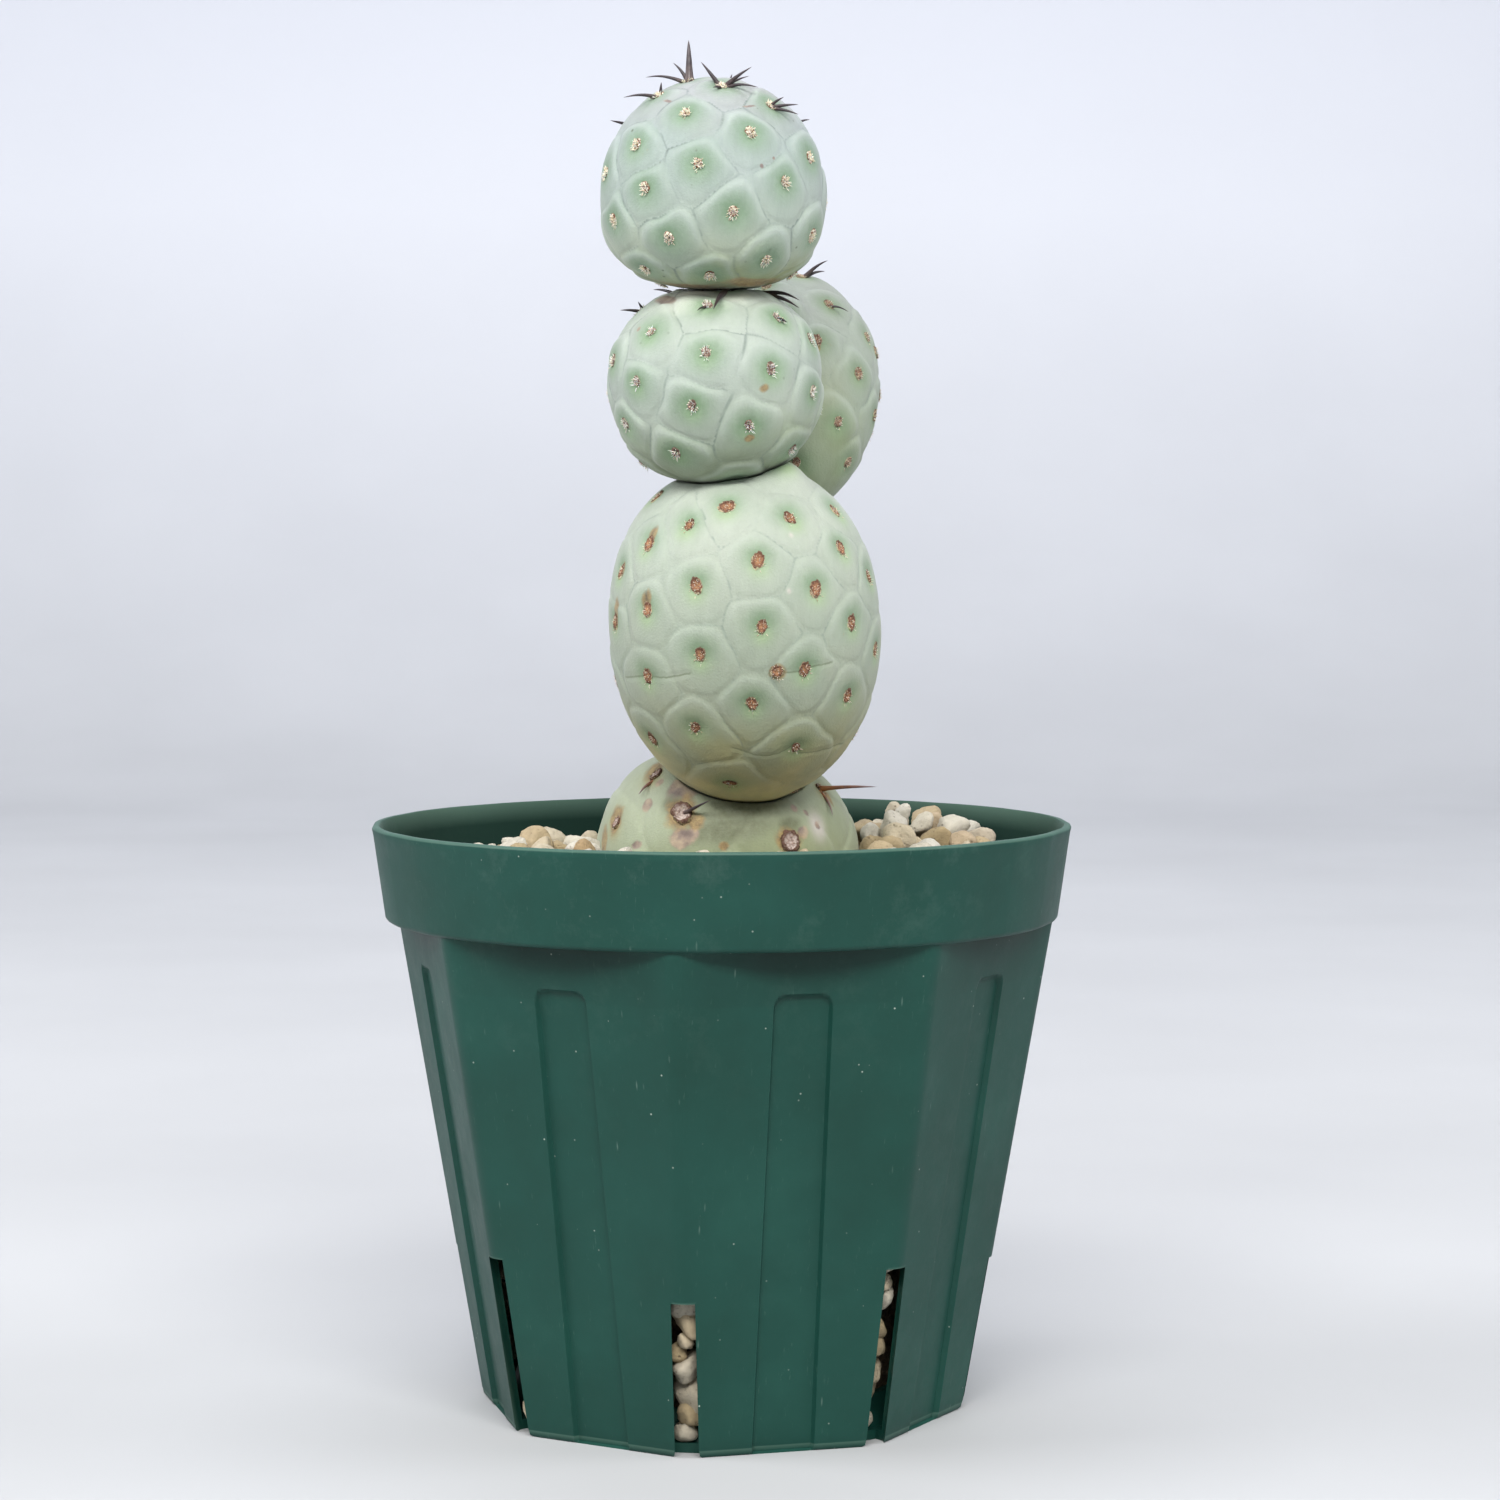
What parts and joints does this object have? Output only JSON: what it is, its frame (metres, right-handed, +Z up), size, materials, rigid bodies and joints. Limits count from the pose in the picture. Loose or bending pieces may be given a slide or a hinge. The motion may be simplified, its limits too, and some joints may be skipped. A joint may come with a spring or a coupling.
{
  "type": "potted tephrocactus geometricus",
  "caption": "Small cactus of ball-shaped, tuberculate stem segments stacked on one another, with dark spines on the upper crowns, growing in gritty soil in a ribbed plastic slit pot.",
  "frame": {"origin": "Centre of the pot's foot, on the surface that the pot stands on.", "axes": "+Z is up, +Y points away from the front, so the view of the picture looks along +Y with +X to the right."},
  "size_m": [0.12, 0.12, 0.232],
  "materials": {
    "pot_plastic": "dark green moulded polypropylene, satin, lightly scuffed and dusty",
    "grit": "cream and tan pumice and baked clay grains, rough and matt",
    "old_skin": "aged olive-green cactus skin with corky scars, waxy and matt",
    "skin": "grey-green waxy cactus skin, matt bloom, dark green round the areoles",
    "young_skin": "pale blue-green waxy cactus skin, matt bloom, dark green round the areoles"
  },
  "bodies": {
    "root": {"pot": "pot_plastic", "soil": "grit", "segment_base": "old_skin", "segment_lower": "skin", "segment_middle": "skin", "segment_top": "young_skin", "segment_rear": "skin"}
  },
  "joints": []
}
